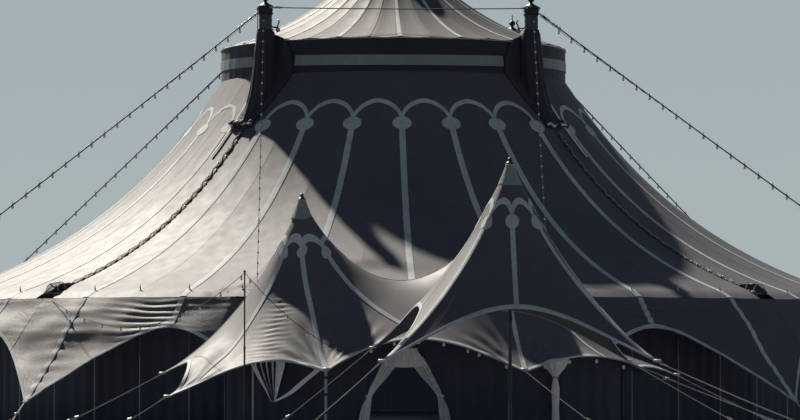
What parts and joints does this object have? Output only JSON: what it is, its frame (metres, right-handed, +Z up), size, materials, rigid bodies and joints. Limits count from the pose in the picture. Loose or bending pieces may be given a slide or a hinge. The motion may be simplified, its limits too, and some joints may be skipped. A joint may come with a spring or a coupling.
{
  "type": "circus big top tent (1:2 scale model)",
  "caption": "Round circus big top with a striped membrane roof, cupola, corner masts, guyed apron, a peaked foyer and a square entrance canopy; half-scale model.",
  "frame": {"origin": "on the ground under the middle of the whole plan, guys and stays included", "axes": "+Z up; -Y is the entrance side; +X to the right as seen from outside the entrance"},
  "size_m": [25.8182, 35.194, 10.5492],
  "materials": {
    "membrane": "coated polyester, satin, dark grey-blue",
    "stripe_cloth": "coated polyester, satin, pale grey",
    "dark_cloth": "coated polyester, matt, near black blue",
    "wall_cloth": "matt, near black",
    "mast_paint": "dark grey-green paint, satin",
    "galvanised_steel": "dull galvanised",
    "steel_cable": "weathered wire rope",
    "cap_cloth": "coated polyester, grey-green, satin",
    "drape_cloth": "stretch cloth, warm pale grey",
    "lamp_glass": "opal lamp glass",
    "lamp_socket": "black, matt"
  },
  "bodies": {
    "root": {"apron_back": "dark_cloth", "apron_front_left": "dark_cloth", "apron_front_right": "dark_cloth", "apron_left": "dark_cloth", "apron_right": "dark_cloth", "cupola_dome": "membrane", "cupola_fascia": "dark_cloth", "cupola_frame": "mast_paint", "door_drapes": "drape_cloth", "entrance_canopy": "membrane", "entrance_mast": "cap_cloth", "entrance_stay_back_left": "steel_cable", "entrance_stay_back_right": "steel_cable", "entrance_stay_front_left": "steel_cable", "entrance_stay_front_right": "steel_cable", "foyer_mast_left": "cap_cloth", "foyer_mast_right": "cap_cloth", "foyer_pole": "galvanised_steel", "foyer_roof": "membrane", "foyer_stay_front_left": "steel_cable", "foyer_stay_front_middle": "steel_cable", "foyer_stay_front_right": "steel_cable", "foyer_stay_side_left": "steel_cable", "foyer_stay_side_right": "steel_cable", "foyer_wall_front": "wall_cloth", "foyer_wall_left": "wall_cloth", "foyer_wall_right": "wall_cloth", "gathered_drape": "drape_cloth", "guy_back_left": "steel_cable", "guy_back_right": "steel_cable", "guy_front_left": "steel_cable", "guy_front_right": "steel_cable", "mast_back_left": "mast_paint", "mast_back_right": "mast_paint", "mast_front_left": "mast_paint", "mast_front_right": "mast_paint", "mast_sleeve_back_left": "dark_cloth", "mast_sleeve_back_right": "dark_cloth", "mast_sleeve_front_left": "dark_cloth", "mast_sleeve_front_right": "dark_cloth", "mast_tie_cable": "steel_cable", "roof_back": "membrane", "roof_front": "membrane", "roof_left": "membrane", "roof_right": "membrane", "side_poles_back": "galvanised_steel", "side_poles_front": "galvanised_steel", "side_poles_left": "galvanised_steel", "side_poles_right": "galvanised_steel", "wall_back": "wall_cloth", "wall_front": "wall_cloth", "wall_left": "wall_cloth", "wall_right": "wall_cloth"}
  },
  "joints": []
}
